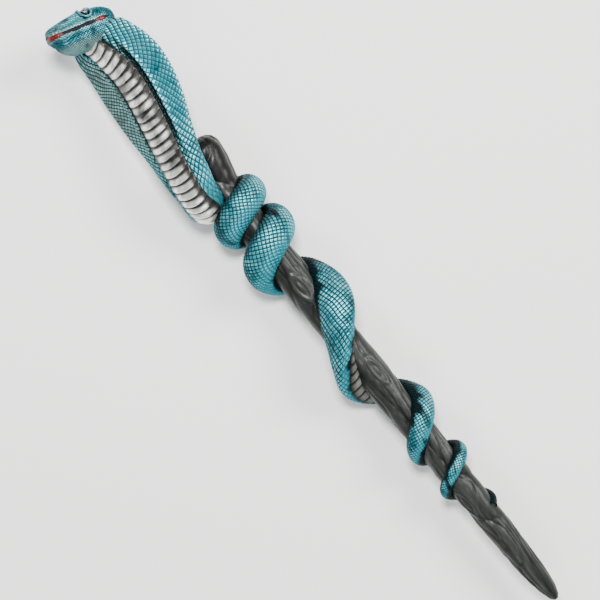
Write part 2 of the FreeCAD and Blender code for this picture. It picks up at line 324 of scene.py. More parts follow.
class Wire:
    """A socket that takes part in Python arithmetic: every operator adds the Math node it stands for."""

    def __init__(self, paint: "Paint", socket: bpy.types.NodeSocket) -> None:
        """Keeps the paint whose tree the socket is in."""
        self.paint = paint
        self.socket = socket

    def math(self, operation: str, *others: "Wire | float", first: "Wire | float | None" = None) -> "Wire":
        """Adds a Math node.

        Args:
            operation: The node's operation.
            others: Its second and third inputs.
            first: Its first input, where that isn't this wire.

        Returns:
            The node's result.
        """
        start = self if first is None else first
        return self.paint.node("Math", {"operation": operation}, dict(enumerate((start, *others))))

    def __add__(self, other: "Wire | float") -> "Wire":
        """This plus other."""
        return self.math("ADD", other)

    def __sub__(self, other: "Wire | float") -> "Wire":
        """This less other."""
        return self.math("SUBTRACT", other)

    def __rsub__(self, other: float) -> "Wire":
        """Other less this."""
        return self.math("SUBTRACT", self, first=other)

    def __mul__(self, other: "Wire | float") -> "Wire":
        """This times other."""
        return self.math("MULTIPLY", other)

    __radd__ = __add__
    __rmul__ = __mul__

    def fract(self) -> "Wire":
        """What is left above the whole number below."""
        return self.math("FRACT")

    def floor(self) -> "Wire":
        """The whole number below."""
        return self.math("FLOOR")

    def least(self, other: "Wire | float") -> "Wire":
        """The smaller of two values."""
        return self.math("MINIMUM", other)

    def most(self, other: "Wire | float") -> "Wire":
        """The larger of two values."""
        return self.math("MAXIMUM", other)

    def eased(self, low: float, high: float) -> "Wire":
        """Smoothstep from 0 at low to 1 at high."""
        settings = {"interpolation_type": "SMOOTHSTEP"}
        return self.paint.node("MapRange", settings, {0: self, 1: low, 2: high, 3: 0.0, 4: 1.0})


Colour = tuple[float, float, float]


class Paint:
    """A material under construction, with one method for every kind of node."""

    def __init__(self, name: str) -> None:
        """Starts an empty tree with its shader and output."""
        self.material = bpy.data.materials.new(name)
        self.material.use_nodes = True
        self.tree = self.material.node_tree
        self.tree.nodes.clear()
        self.shader = self.tree.nodes.new("ShaderNodeBsdfPrincipled")
        output = self.tree.nodes.new("ShaderNodeOutputMaterial")
        self.tree.links.new(self.shader.outputs[0], output.inputs["Surface"])

    def plug(self, socket: bpy.types.NodeSocket, value: "Wire | float | Colour") -> None:
        """Links a wire to a socket, or sets the socket to a value. A colour gets its alpha."""
        if isinstance(value, Wire):
            self.tree.links.new(value.socket, socket)
        elif isinstance(value, tuple) and socket.type == "RGBA":
            socket.default_value = (*value, 1.0)
        else:
            socket.default_value = value

    def node(self, kind: str, settings: dict | None = None, inputs: dict | None = None, output: int = 0) -> Wire:
        """Adds any node.

        Args:
            kind: The node's type, without the ShaderNode that every name starts with.
            settings: Its properties; "stops" holds a colour ramp's places and colours.
            inputs: Values or wires by socket name or number.
            output: Which result to return.

        Returns:
            The chosen result.
        """
        made = self.tree.nodes.new("ShaderNode" + kind)
        for key, value in (settings or {}).items():
            if key == "stops":
                ramp = made.color_ramp.elements
                while len(ramp) < len(value):
                    ramp.new(0.5)
                for element, (place, colour) in zip(ramp, value):
                    element.position = place
                    element.color = (*colour, 1.0)
            else:
                setattr(made, key, value)
        for key, value in (inputs or {}).items():
            self.plug(made.inputs[key], value)
        return Wire(self, made.outputs[output])

    def finish(self, **sockets: "Wire | float | Colour") -> bpy.types.Material:
        """Sets the shader's sockets, named with underscores for spaces, and returns the material."""
        for name, value in sockets.items():
            self.plug(self.shader.inputs[name.replace("_", " ")], value)
        return self.material

    def mix(self, share: Wire | float, a: "Wire | Colour", b: "Wire | Colour") -> Wire:
        """Colour a where share is 0 and b where it is 1."""
        return self.node("Mix", {"data_type": "RGBA"}, {0: share, 6: a, 7: b}, output=2)

    def mask(self, name: str) -> Wire:
        """A value stored on the mesh's points."""
        return self.node("Attribute", {"attribute_name": name}, output=2)

    def noise(self, scale: float, stretch: Colour = (1.0, 1.0, 1.0), detail: float = 3.0) -> Wire:
        """Noise on Object coordinates, about 0.5 on average, stretched by dividing its rate along each axis."""
        place = self.node("TexCoord", output=3)
        turned = self.node("Mapping", inputs={"Vector": place, "Scale": stretch})
        return self.node("TexNoise", inputs={"Vector": turned, "Scale": scale, "Detail": detail})

    def uv(self, layer: str) -> tuple[Wire, Wire]:
        """The two coordinates of a UV map."""
        where = self.node("UVMap", {"uv_map": layer})
        return self.node("SeparateXYZ", inputs={0: where}), self.node("SeparateXYZ", inputs={0: where}, output=1)

    def bump(self, height: Wire, distance: float, strength: float) -> Wire:
        """A Bump node on a height of 0 to 1 that stands for a distance in metres."""
        return self.node("Bump", inputs={"Height": height, "Distance": distance, "Strength": strength})


@dataclass(frozen=True)
class ScalePaint:
    """Metallic teal over cast scales: dark wash in the grooves, pale dry-brushing on what stands up, painted shade and
    highlight.
    """

    teal: Colour = (0.022, 0.265, 0.335)
    deep: Colour = (0.004, 0.060, 0.080)
    # Near-black: the wash in the grooves, and the painted shade that the shade mask brings in.
    wash: Colour = (0.0015, 0.006, 0.007)
    # Pale: the dry-brushing, and the painted highlight along the hood's rim and ridge.
    pale: Colour = (0.34, 0.70, 0.73)
    # Grey-green: partly the paint, partly painted reflection on the far wing, seen at a grazing angle.
    grey: Colour = (0.105, 0.160, 0.148)
    red: Colour = (0.115, 0.0022, 0.0022)
    silver: Colour = (0.17, 0.172, 0.160)
    # Silver and umber: the coils' scutes, with umber as painted shade on each scute.
    umber: Colour = (0.008, 0.006, 0.004)
    net: float = 1.0
    brush: float = 0.62
    patch_rate: float = 95.0
    speck_rate: float = 900.0
    streak_rate: float = 420.0
    relief: float = 0.00030

    def make(self, name: str) -> bpy.types.Material:
        """Builds the material.

        A scale is a unit cell of the scales map. Wash lies widest along its two head edges, under the scales before
        it, and dry brushing grows towards its tail edges. Masks turn the finish to silver scutes on the belly, with
        painted shade at each scute's ends and sides, to grey-green that is partly painted reflection, to pale that is
        partly painted highlight, or to red, or to wash and painted shade; one more mask lightens and cleans the paint
        as painted highlight with some rubbed-off wash.

        Args:
            name: The material's name.

        Returns:
            The material.
        """
        paint = Paint(name)
        p, q = paint.uv(UV_SCALES)
        fp, fq = p.fract(), q.fract()
        patches = paint.noise(self.patch_rate)
        specks = paint.noise(self.speck_rate, detail=4.0)
        raised = fp.least(fq).eased(0.04, 0.31) * (1 - fp.most(fq)).eased(-0.01, 0.12)
        cell = paint.node("CombineXYZ", inputs={0: p.floor(), 1: q.floor()})
        chance = paint.node("TexWhiteNoise", inputs={"Vector": cell})
        along = (fp + fq) * 0.5
        brushed = (raised * (along * 0.6 + patches * 1.5 + chance * 0.3 + specks * 0.4)).eased(1.05, 1.85)
        # Lighter, cleaner paint where this mask is high: painted highlight on crests and sides facing the tip, with
        # some rubbed-off wash.
        rubbed = paint.mask("rubbed")
        groove = ((1 - raised) * (0.75 + patches * 0.5)).least(1.0) * (1 - rubbed * 0.6) * self.net
        ground = paint.mix((patches + specks * 0.3 + rubbed * 0.25).eased(0.46, 0.82), self.deep, self.teal)
        ground = paint.mix(chance * 0.3, ground, self.teal)
        ground = paint.mix(paint.mask("grey"), ground, self.grey)
        brushed = brushed * (1 - rubbed * 0.45) * self.brush
        # Pale where the mask asks: painted highlight on the hood's rim and ridge, lighter lip scales and eye ring on
        # the head.
        scales = paint.mix((brushed + paint.mask("pale") * 0.8).least(1.0), ground, self.pale)
        scales = paint.mix(groove, scales, self.wash)
        red = (paint.mask("red") + (specks - 0.5) * 0.5).eased(0.25, 0.6)
        scales = paint.mix(red, scales, self.red)
        # Near-black over the shade mask: wash in places, painted shade near the stick, in furrows and on sides facing
        # the head.
        grime_and_shade = (paint.mask("wash") * (0.5 + patches * 0.8 + specks * 0.3)).eased(0.08, 0.85)
        scales = paint.mix(grime_and_shade, scales, self.wash)

        row, side = paint.uv(UV_SCUTES)
        step = row.fract()
        streak = paint.noise(self.streak_rate, (0.35, 1.0, 1.0), 4.0)
        # Scutes on the coils: silver in the middle, umber painted shade at each scute's ends and sides, broken by
        # streaks.
        shade = step.eased(0.05, 0.45) * (1 - step.eased(0.95, 1.0)) * (1 - side.math("ABSOLUTE").eased(0.5, 1.0))
        plate = paint.mix((shade * (0.35 + streak * 0.9)).least(1.0), self.umber, self.silver)
        belly = paint.mask("belly")
        height = raised * (0.6 + along * 0.4) + specks * 0.06
        tall = belly * (step * 0.8 + streak * 0.1) + (1 - belly) * height
        return paint.finish(
            Base_Color=paint.mix(belly, scales, plate),
            Metallic=(1 - groove * 0.7) * (1 - red) * (1 - grime_and_shade * 0.6) * (0.74 - belly * 0.24),
            Roughness=0.31 + specks * 0.16 + groove * 0.25,
            Normal=paint.bump(tall, self.relief, 0.7),
            Coat_Weight=0.04,
            Coat_Roughness=0.12,
            Specular_IOR_Level=0.15,
            Specular_Tint=(0.10, 0.38, 0.44),
        )


@dataclass(frozen=True)
class BellyPaint:
    """Silver over the belly scutes, with painted highlight and shade on each, and a brown-black wash in the steps and
    along the sides, partly painted shade.
    """

    silver: Colour = (0.88, 0.88, 0.83)
    # The unlit silver of each scute: painted shade.
    shaded_silver: Colour = (0.098, 0.098, 0.084)
    umber: Colour = (0.0046, 0.0044, 0.0032)
    streak_rate: float = 380.0
    patch_rate: float = 140.0
    speck_rate: float = 1500.0
    relief: float = 0.00015

    def make(self, name: str) -> bpy.types.Material:
        """Builds the material: a scute is one unit of the map's first coordinate, and its sides are at -1 and 1."""
        paint = Paint(name)
        row, side = paint.uv(UV_SCUTES)
        step = row.fract()
        number = paint.node("TexWhiteNoise", {"noise_dimensions": "1D"}, {"W": row.floor()})
        reach = side.math("ABSOLUTE")
        streak = paint.noise(self.streak_rate, (0.3, 1.0, 1.0), 5.0)
        patches = paint.noise(self.patch_rate)
        specks = paint.noise(self.speck_rate, detail=4.0)
        # Each scute is lit towards its tail edge and across its middle and shaded at its head side and sides: painted
        # highlight and shade, broken by patches and streaks.
        late = (side + 1) * 0.06 + (patches - 0.5) * 0.40 + (number - 0.5) * 0.10
        open_step = (step - late).eased(-0.02, 0.44) * (1 - step.eased(0.965, 1.0))
        middle = 1 - (reach + side * 0.08 + (patches - 0.5) * 0.9).eased(0.46, 1.06)
        highlight_share = (open_step * middle * (0.22 + patches * 0.5 + step * 0.4 + streak * 0.5)).eased(0.08, 0.92)
        # Umber over the unlit part of each scute: painted shade, streaked like real wear.
        toned = ((1 - highlight_share) * (0.30 + streak * 1.2) * (1 - open_step * 0.40)).least(1.0)
        colour = paint.mix(highlight_share, self.shaded_silver, self.silver)
        colour = paint.mix((toned * (0.8 + number * 0.25)).least(1.0), colour, self.umber)
        # Umber where the mask asks: wash, and painted shade along the sides and steps.
        colour = paint.mix((paint.mask("wash") * (0.6 + patches * 0.7)).least(1.0), colour, self.umber)
        return paint.finish(
            Base_Color=colour,
            Metallic=0.45 + highlight_share * 0.35,
            Roughness=0.30 + specks * 0.14 + toned * 0.15,
            Normal=paint.bump(streak * 0.5 + specks * 0.3, self.relief, 0.7),
            Coat_Weight=0.2,
            Coat_Roughness=0.2,
        )


@dataclass(frozen=True)
class StickPaint:
    """Charcoal over cast bark, with grey-brown dry-brushing along the ridges."""

    black: Colour = (0.0015, 0.0016, 0.0015)
    charcoal: Colour = (0.0215, 0.0245, 0.0222)
    dust: Colour = (0.145, 0.146, 0.128)
    streak_rate: float = 330.0
    patch_rate: float = 45.0
    speck_rate: float = 1300.0
    relief: float = 0.00030

    def make(self, name: str) -> bpy.types.Material:
        """Builds the material: the ridge mask lifts black to charcoal, and streaks of dust catch on it."""
        paint = Paint(name)
        ridge = paint.mask("ridge")
        streaks = paint.noise(self.streak_rate, (0.16, 1.0, 1.0), 6.0)
        patches = paint.noise(self.patch_rate, (0.5, 1.0, 1.0), 2.0)
        specks = paint.noise(self.speck_rate, (0.4, 1.0, 1.0), 4.0)
        colour = paint.mix(ridge, self.black, self.charcoal)
        caught = (ridge * (streaks * 1.1 + patches * 0.7 + specks * 0.3)).eased(1.08, 1.5)
        colour = paint.mix(caught * 0.75, colour, self.dust)
        return paint.finish(
            Base_Color=colour,
            Metallic=0.0,
            Roughness=0.25 + specks * 0.20 + streaks * 0.08,
            Normal=paint.bump(streaks * 0.7 + specks * 0.3, self.relief, 0.7),
            Coat_Weight=0.05,
            Coat_Roughness=0.12,
            Specular_IOR_Level=0.17,
        )


@dataclass(frozen=True)
class LipPaint:
    """Gloss red, gone to dark maroon along the narrow middle of the mouth line: painted shade in the gap between the
    lips.
    """

    red: Colour = (0.115, 0.0022, 0.0022)
    maroon: Colour = (0.009, 0.0008, 0.0045)
    speck_rate: float = 1100.0
    relief: float = 0.00015

    def make(self, name: str) -> bpy.types.Material:
        """Builds the material: the shade mask and a fine noise turn red to maroon, painted shade in the gap between
        the lips.
        """
        paint = Paint(name)
        specks = paint.noise(self.speck_rate)
        share = (paint.mask("wash") + (specks - 0.5) * 0.9).eased(0.15, 0.75)
        return paint.finish(
            Base_Color=paint.mix(share, self.red, self.maroon),
            Roughness=0.30 + specks * 0.15 + share * 0.3,
            Normal=paint.bump(specks, self.relief, 0.5),
            Coat_Weight=(1 - share) * 0.15,
            Specular_IOR_Level=0.20,
        )


@dataclass(frozen=True)
class EyePaint:
    """A dark clear-coated bead with a magenta and teal sheen."""

    dark: Colour = (0.010, 0.012, 0.020)
    magenta: Colour = (0.30, 0.030, 0.16)
    teal: Colour = (0.02, 0.30, 0.32)
    fleck_rate: float = 1400.0

    def make(self, name: str) -> bpy.types.Material:
        """Builds the material: two painted glints, magenta and teal, as patches of coloured metal on a dark ground."""
        paint = Paint(name)
        one = paint.mask("glint_red")
        two = paint.mask("glint_teal")
        flecks = paint.noise(self.fleck_rate, detail=2.0)
        colour = paint.mix((one * (0.6 + flecks * 0.8)).least(1.0), self.dark, self.magenta)
        colour = paint.mix((two * (0.5 + flecks * 0.8)).least(1.0), colour, self.teal)
        return paint.finish(
            Base_Color=colour,
            Metallic=(one + two).least(1.0) * 0.6,
            Roughness=0.10 + flecks * 0.06,
            Coat_Weight=1.0,
            Coat_Roughness=0.03,
        )


@dataclass(frozen=True)
class RodPaint:
    """Plain drawn steel, with fine lines along it."""

    light: Colour = (0.55, 0.55, 0.55)
    dark: Colour = (0.36, 0.36, 0.37)
    line_rate: float = 1600.0

    def make(self, name: str) -> bpy.types.Material:
        """Builds the material: noise drawn out along X."""
        paint = Paint(name)
        lines = paint.noise(self.line_rate, (0.04, 1.0, 1.0), 2.0)
        return paint.finish(
            Base_Color=paint.mix(lines, self.dark, self.light), Metallic=1.0, Roughness=0.26 + lines * 0.16
        )


@dataclass(frozen=True)
class TablePaint:
    """A plain pale board under the wand."""

    white: Colour = (0.93, 0.93, 0.925)
    warm: Colour = (0.90, 0.90, 0.895)
    cloud_rate: float = 3.0

    def make(self, name: str) -> bpy.types.Material:
        """Builds the material: two near whites, clouded together."""
        paint = Paint(name)
        clouds = paint.noise(self.cloud_rate)
        return paint.finish(Base_Color=paint.mix(clouds, self.white, self.warm), Roughness=0.55 + clouds * 0.1)


# ---- the snake ---------------------------------------------------------------------------------------------


@dataclass
class Station:
    """The snake's section at many places at once."""

    centre: np.ndarray
    belly: np.ndarray
    left: np.ndarray
    width: np.ndarray
    depth: np.ndarray


@dataclass
class Spine:
    """The line that the snake's body follows, from inside the head to the end of the tail."""

    hood_yaw: float = math.radians(37.0)
    bend_belly: tuple[float, float, float] = (0.62, -0.42, 0.66)
    coil_steps: int = 4
    spread_start: float = 1.5
    spread_full: float = 3.0
    wing_share: float = 0.36
    spine_width: float = 9.5
    belly_half: float = 7.4
    wider_left: float = 0.13
    scale_start: float = 1.15
    scale_growth: float = 0.20
    scale_range: tuple[float, float] = (1.5, 2.85)
    scute_growth: float = 0.56
    scute_range: tuple[float, float] = (1.6, 4.3)
    seams: tuple[float, ...] = (0.5, 2.5, 4.5, 6.5, 8.5, 10.5, 11.0)
    tail_end: float = 11.45
    rows: np.ndarray = field(init=False)
    line: np.ndarray = field(init=False)

    def __post_init__(self) -> None:
        """Lines up the hood's stations and the coils' in one table, and measures the back and belly along it."""
        hood = np.array(HOOD_ROWS)
        facing = np.tile([0.0, -math.sin(self.hood_yaw), math.cos(self.hood_yaw)], (len(hood), 1))
        facing[-1] = self.bend_belly
        turns = np.arange(int((len(COIL_ROWS) - 1.5) * self.coil_steps)) / self.coil_steps
        self.rows = np.vstack([np.hstack([hood[:, :3], facing, hood[:, 3:]]), self.coil(turns)])
        self.line = self.measured()

    def coil_centre(self, turns: np.ndarray) -> tuple[np.ndarray, ...]:
        """Centre, outward direction, half width, half depth and roll on the coils, after so many half turns."""
        x, reach, width, depth, roll = np.moveaxis(smooth_rows(np.array(COIL_ROWS), turns), -1, 0)
        angle = math.pi * (1 + turns)
        out = np.stack([np.zeros_like(angle), np.cos(angle), np.sin(angle)], -1)
        centre = out * (reach - depth)[..., None]
        centre[..., 0] += x
        return centre, out, width, depth, np.radians(roll)

    def coil(self, turns: np.ndarray) -> np.ndarray:
        """Rows of the table on the coils: centre, belly direction, half width and half depth."""
        centre, out, width, depth, roll = self.coil_centre(turns)
        tangent = unit(self.coil_centre(turns + 0.01)[0] - self.coil_centre(turns - 0.01)[0])
        side = unit(np.cross(tangent, out))
        belly = out * np.cos(roll)[:, None] + side * np.sin(roll)[:, None]
        return np.hstack([centre, belly, width[:, None], depth[:, None]])

    def coil_place(self, turns: float) -> float:
        """The place in the table after so many half turns."""
        return len(HOOD_ROWS) + turns * self.coil_steps

    def at(self, place: np.ndarray) -> Station:
        """The section at each place: the belly direction is squared to the line, and left is belly cross tangent."""
        rows = smooth_rows(self.rows, place)
        tangent = unit(smooth_rows(self.rows, place + 0.02)[..., :3] - smooth_rows(self.rows, place - 0.02)[..., :3])
        belly = rows[..., 3:6]
        belly = unit(belly - tangent * (belly * tangent).sum(-1, keepdims=True))
        return Station(rows[..., :3], belly, np.cross(belly, tangent), rows[..., 6], rows[..., 7])

    def skin(self, station: Station, angle: np.ndarray) -> np.ndarray:
        """Points of the smooth skin at angles from the belly towards the left.

        Across is width times the sine, and height is depth times the cosine. As the body spreads into a hood, the
        height away from the spine shrinks to wing_share by a bell of across over spine_width.
        """
        width, depth = station.width[:, None], station.depth[:, None]
        spread = ease(width / depth, self.spread_start, self.spread_full)
        across = width * np.sin(angle)
        body = self.wing_share + (1 - self.wing_share) * np.exp(-((across / self.spine_width) ** 2))
        height = depth * np.cos(angle) * (1 - spread + spread * body)
        return (
            station.centre[:, None]
            + station.left[:, None] * across[..., None]
            + station.belly[:, None] * height[..., None]
        )

    def scale_length(self, width: np.ndarray) -> np.ndarray:
        """The length of a scale on a body of that half width, in millimetres: a start, plus growth with the width."""
        return np.clip(self.scale_start + self.scale_growth * width, *self.scale_range)

    def measured(self) -> np.ndarray:
        """Places, then the scales along the back and the scutes along the belly, counted from the head."""
        place = np.linspace(0.0, len(self.rows) - 1.0, 4000)
        station = self.at(place)
        sides = self.skin(station, np.tile([math.pi, 0.0], (len(place), 1)))
        steps = np.linalg.norm(np.diff(sides, axis=0), axis=-1)
        scales = np.cumsum(steps[:, 0] / self.scale_length(station.width[1:]))
        scutes = np.cumsum(steps[:, 1] / np.clip(self.scute_growth * station.width[1:], *self.scute_range))
        return np.stack([place, np.append(0.0, scales), np.append(0.0, scutes)])

    def even_places(self, first: float, last: float, count: int) -> np.ndarray:
        """Places from first to last, evenly spaced by scales along the back."""
        ends = np.interp([first, last], self.line[0], self.line[1])
        return np.interp(np.linspace(*ends, count), self.line[1], self.line[0])

    def belly_edge(self, width: np.ndarray, turn: np.ndarray, place: np.ndarray) -> np.ndarray:
        """The angle at which the belly ends and the scales start. It is wider on the left, down the hood."""
        wider = 1 + self.wider_left * (turn > 0) * ease(place, 3.6, 6.0) * (1 - ease(place, 12.0, 14.0))
        return np.arcsin(np.minimum(self.belly_half * wider / width, 0.8))


@dataclass
class BodyLength:
    """A casting of the snake's body between two places on its spine."""

    name: str
    node: str
    first: float
    last: float
    rings: int
    columns: int
    strip_end: float = 0.0
    relief: float = 0.125
    squat: float = 0.95
    sway: float = 0.13
    strip_recess: float = 1.15
    scute_bow: float = 0.30
    left_ridge: float = 10.9
    right_ridge: float = -10.0
    left_furrow: float = 9.3
    right_furrow: float = -8.0
    sunk: tuple[float, float] = (8.6, 13.2)

    def skin(self, spine: Spine) -> Skin:
        """The casting's surface: the smooth skin, pushed out along its normals by its scales.

        The scales map counts scales along the back, plus and less those across from the back's midline, so that a
        cell of it is a diamond. The scutes map counts scutes along the belly, and runs from -1 to 1 across it.

        Args:
            spine: The line that the body follows.

        Returns:
            The grid, with its maps and masks.
        """
        place = spine.even_places(self.first, self.last, self.rings)
        station = spine.at(place)
        width, depth = station.width[:, None], station.depth[:, None]
        v = np.linspace(0.0, 2 * math.pi, self.columns + 1)[None, :]
        spread = ease(width / depth, spine.spread_start, spine.spread_full)
        angle = v - 0.28 * spread * np.sin(2 * v)
        smooth = spine.skin(station, angle)
        arc = run_length(smooth, 1)
        arc -= arc[:, self.columns // 2][:, None]
        length = spine.scale_length(width)
        count = np.interp(place, spine.line[0], spine.line[1])[:, None]
        sway = self.sway * ripple(count, 3.0 * np.cos(v) + 3.0 * np.sin(v), 31, 8, 0.4, 1.5)
        slip = self.sway * ripple(count, 3.0 * np.cos(v) - 3.0 * np.sin(v), 37, 8, 0.4, 1.5)
        across_count = arc / (length * self.squat)
        p, q = count + across_count + sway, count - across_count + slip

        turn = (angle + math.pi) % (2 * math.pi) - math.pi
        edge = spine.belly_edge(width, turn, place[:, None])
        belly = ease(edge - np.abs(turn), -0.03, 0.06)
        across = width * np.sin(angle) * (np.abs(turn) < math.pi / 2)
        side = np.clip(turn / edge, -1.3, 1.3)
        scutes = np.interp(place, spine.line[0], spine.line[2])[:, None] + self.scute_bow * side**2
        step = scutes - np.floor(scutes)

        strip = (place < self.strip_end)[:, None] * np.ones_like(v)
        lift = self.relief * length * diamonds(p, q) * (1 - belly)
        lift += belly * (1 - strip) * (0.35 * ease(step, 0.0, 0.9) * (1 - ease(step, 0.94, 1.0)) - 0.1)
        lift -= self.strip_recess * belly * strip
        front = spread * ease(np.cos(turn), 0.0, 0.2)
        lip = front * ease(place, 3.0, 5.0)[:, None]
        lift += lip * (0.8 * hump(across, self.left_ridge, 0.8) + 0.5 * hump(across, self.right_ridge, 1.2))
        lift -= lip * (1.2 * hump(across, self.left_furrow, 0.9) + 0.8 * hump(across, self.right_furrow, 0.9))

        # Dark in the furrows each side of the belly band, under the wings' edges: painted shade with some wash.
        left_gap_shade_and_wash = ease(across, 7.8, 8.4) * (1 - ease(across, 9.8, 10.6))
        wash = lip * (0.95 * left_gap_shade_and_wash + 0.85 * hump(across, self.right_furrow, 1.1))
        # Darker close to the stick, where coils and neck meet it: painted shade.
        off_stick = np.hypot(smooth[..., 1], smooth[..., 2])
        wash = wash + (1 - ease(off_stick, *self.sunk)) ** 1.5 * ease(smooth[..., 0], 8.0, 24.0)
        wash = wash + 0.5 * hump(np.abs(turn), edge, 0.22) * (1 - strip)
        outward = normals(smooth[:, :-1]) * self.sign(smooth)
        facing = np.concatenate([outward, outward[:, :1]], axis=1) * (1 - spread)[..., None]
        toward_tip, crest = facing[..., 0], facing[..., 2]
        blotch = ripple(1.3 * count + 3.0 * np.sin(v), 3.0 * np.cos(v), 53, 9, 0.5, 1.6)
        wash = wash + 0.55 * ease(blotch, 0.15, 1.4) * (1 - spread)
        # Darker on sides that face the head: painted shade.
        wash = np.clip(wash + 0.58 * ease(-toward_tip, 0.18, 0.80), 0, 1)
        # Lighter and cleaner on crests, on sides facing the tip and on the near wing: painted highlight, with some
        # rubbed-off wash.
        near_wing = front * ease(across, 10.2, 12.0)
        rubbed = 0.16 * ease(crest, 0.55, 0.95) + ease(toward_tip, 0.05, 0.65) + 0.55 * near_wing
        rubbed = np.clip(rubbed, 0, 1)
        # Grey-green on the far wing: partly its paint, partly painted reflection at a grazing angle.
        grey = front * (0.95 * ease(-across, 7.0, 9.0) + 0.25 * (1 - ease(place, 2.0, 4.5))[:, None])
        # Pale along the near wing's rim and the ridge beside the band: painted highlight.
        rim = hump(turn, 1.45, 0.22) * (1 - 0.5 * front)
        pale = spread * (0.55 * rim + 0.45 * lip * hump(across, self.left_ridge, 0.4))
        thin = ease(np.minimum(width, depth), 0.2, 1.2)
        points = smooth[:, :-1] + outward * (lift * thin)[:, :-1, None]
        ones = np.ones_like(belly)
        masks = {"belly": belly, "wash": wash, "grey": grey, "pale": pale, "rubbed": rubbed}
        return Skin(
            points,
            uvs={UV_SCALES: np.stack([p, q], -1), UV_SCUTES: np.stack([scutes, side * ones], -1)},
            masks={name: grid[:, :-1] for name, grid in masks.items()},
        )

    @staticmethod
    def sign(points: np.ndarray) -> float:
        """1 where the grid's normals point away from its rings' middles, else -1."""
        row = points[:, :-1]
        outward = row - row.mean(axis=1, keepdims=True)
        return float(np.sign((normals(row) * outward).sum()))

    def build(self, spine: Spine, finish: bpy.types.Material) -> bpy.types.Object:
        """Makes the casting and dresses it."""
        piece = self.skin(spine).build(self.name)
        piece.data.materials.append(finish)
        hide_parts(self.node)
        return piece


@dataclass
class BellyStrip:
    """The scutes down the front of the hood and neck, overlapping like shingles."""

    first: float = 2.72
    last: float = 14.42
    rings: int = 420
    top_columns: int = 44
    floor_columns: int = 8
    recess: float = 1.0
    tall: float = 1.15
    bow: float = 0.42
    narrow: float = 0.72
    widening: float = 0.265

    def build(self, spine: Spine, finish: bpy.types.Material) -> bpy.types.Object:
        """Makes the strip and dresses it.

        A scute's place is its count along the belly plus bow times the square of how far across it is, so that its
        edge bows towards the tail. Its top rises over nine tenths of its length and drops at its edge, and the whole
        strip is arched across by the cosine. The ring goes over the top and back along a floor in the recess.

        Args:
            spine: The line that the body follows.
            finish: The strip's material.

        Returns:
            The strip.
        """
        place = np.linspace(self.first, self.last, self.rings)
        station = spine.at(place)
        side = np.append(
            np.linspace(1.0, -1.0, self.top_columns), np.linspace(-0.98, 0.98, self.floor_columns)
        )[None, :]
        top = np.arange(side.shape[1])[None, :] < self.top_columns
        edge = spine.belly_edge(station.width[:, None], side, place[:, None])
        edge = edge * (self.narrow + self.widening * ease(place, self.first, self.first + 2.0))[:, None]
        smooth = spine.skin(station, side * edge)
        row = np.interp(place, spine.line[0], spine.line[2])[:, None] + self.bow * side**2
        step = row - np.floor(row)
        rise = ease(step, -0.15, 0.84) * (1 - 0.95 * ease(step, 0.92, 1.0))
        arch = np.cos(side * math.pi / 2) ** 0.5
        uneven = 0.10 * ripple(place[:, None] * 9.0, side * 6.0, 7, 9, 0.6, 2.4)
        taper = ease(place, self.first, self.first + 0.5)[:, None]
        lift = np.where(top, (self.tall * rise * (0.35 + 0.65 * arch) + uneven * arch - 0.12) * taper, -self.recess)
        points = smooth + station.belly[:, None] * lift[..., None]
        # Darker at both sides of the strip, most on the near side under the wing: painted shade.
        wash = (0.75 * ease(side, 0.66, 1.04) + 0.9 * ease(-side, 0.72, 1.0)) * np.ones_like(row)
        # Darker, unevenly, down the middle stretch of the hood.
        darker_stretch = 0.46 * ease(place, 3.8, 5.6) * (1 - ease(place, 9.8, 11.4))
        wash = wash + darker_stretch[:, None] * (0.75 + 0.6 * ripple(place[:, None] * 3.0, side * 2.5, 19, 9, 0.6, 2.0))
        # Darker at the head side of each scute, under the one before it: painted shade.
        wash = wash + (0.04 + 0.6 * darker_stretch[:, None] + 0.30 * ease(side, 0.15, 0.75)) * (1 - ease(step, 0.15, 0.70))
        # Darker where the strip starts.
        wash = np.clip(np.maximum(wash, (1 - ease(place, self.first, self.first + 1.0))[:, None] * 0.7), 0, 1)
        grid = np.stack([row, side * np.ones_like(row)], -1)
        closed = np.concatenate([grid, grid[:, :1]], axis=1)
        piece = Skin(points, uvs={UV_SCUTES: closed}, masks={"wash": wash}).build("belly_strip")
        piece.data.materials.append(finish)
        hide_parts("belly_scutes")
        return piece


# ---- the head ----------------------------------------------------------------------------------------------


class Side(Enum):
    """Which half of the head: above or below the line of the mouth."""

    CRANIUM = 1
    JAW = -1


